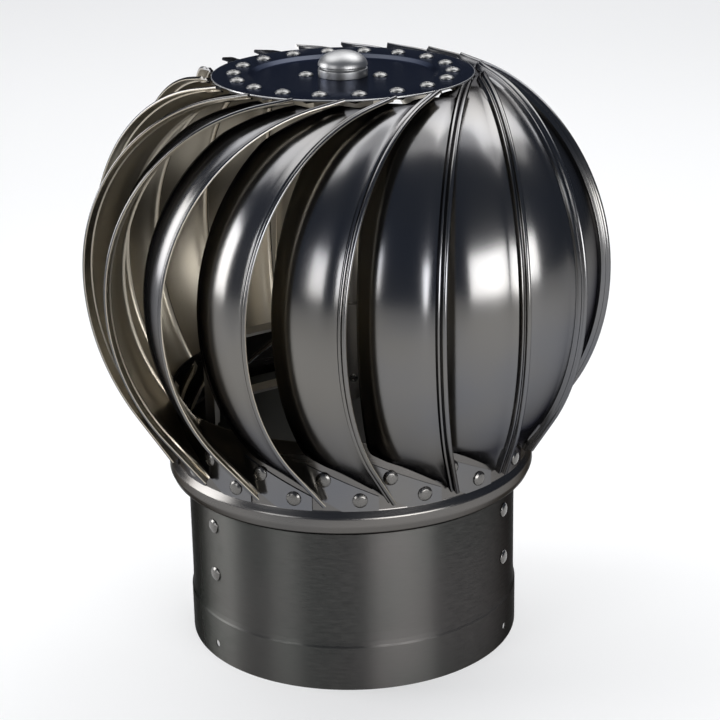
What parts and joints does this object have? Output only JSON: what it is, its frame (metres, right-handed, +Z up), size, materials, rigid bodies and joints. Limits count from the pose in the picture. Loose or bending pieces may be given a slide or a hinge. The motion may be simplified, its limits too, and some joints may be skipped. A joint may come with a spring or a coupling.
{
  "type": "roof turbine ventilator",
  "caption": "Wind-driven roof ventilator: a globe of curved sheet-metal vanes turning on a fixed shaft above a round duct neck.",
  "frame": {"origin": "centre of the neck's lower edge, on the axis of the duct and the rotor", "axes": "+Z up along the rotor's axis; -Y is the side that the picture shows"},
  "size_m": [0.232, 0.235, 0.269],
  "materials": {
    "neck_sheet": "brushed",
    "ring_sheet": "polished",
    "disc_sheet": "satin",
    "vane_sheet": "polished, vertical grain",
    "strap_steel": "satin",
    "turned_steel": "turned",
    "bearing_steel": "ground",
    "bright_steel": "polished",
    "rivet_metal": "bright"
  },
  "bodies": {
    "base": {"neck": "neck_sheet", "leg_1": "strap_steel", "leg_2": "strap_steel", "leg_3": "strap_steel", "brace_1": "strap_steel", "brace_2": "strap_steel", "brace_3": "strap_steel", "hub_tube": "turned_steel", "shaft": "turned_steel", "neck_rivets": "rivet_metal"},
    "rotor": {"base_ring": "ring_sheet", "vane_01": "vane_sheet", "vane_02": "vane_sheet", "vane_03": "vane_sheet", "vane_04": "vane_sheet", "vane_05": "vane_sheet", "vane_06": "vane_sheet", "vane_07": "vane_sheet", "vane_08": "vane_sheet", "vane_09": "vane_sheet", "vane_10": "vane_sheet", "vane_11": "vane_sheet", "vane_12": "vane_sheet", "vane_13": "vane_sheet", "vane_14": "vane_sheet", "vane_15": "vane_sheet", "vane_16": "vane_sheet", "vane_17": "vane_sheet", "vane_18": "vane_sheet", "top_disc": "disc_sheet", "bearing_housing": "turned_steel", "bearing": "bearing_steel", "dome_cap": "bright_steel", "ring_rivets": "rivet_metal", "disc_rivets": "rivet_metal", "housing_rivets": "rivet_metal"}
  },
  "joints": [
    {"name": "rotor_spin", "type": "hinge", "parent": "base", "child": "rotor", "pos_m": [0, 0, 0.25], "axis": [0, 0, 1], "continuous": true}
  ]
}
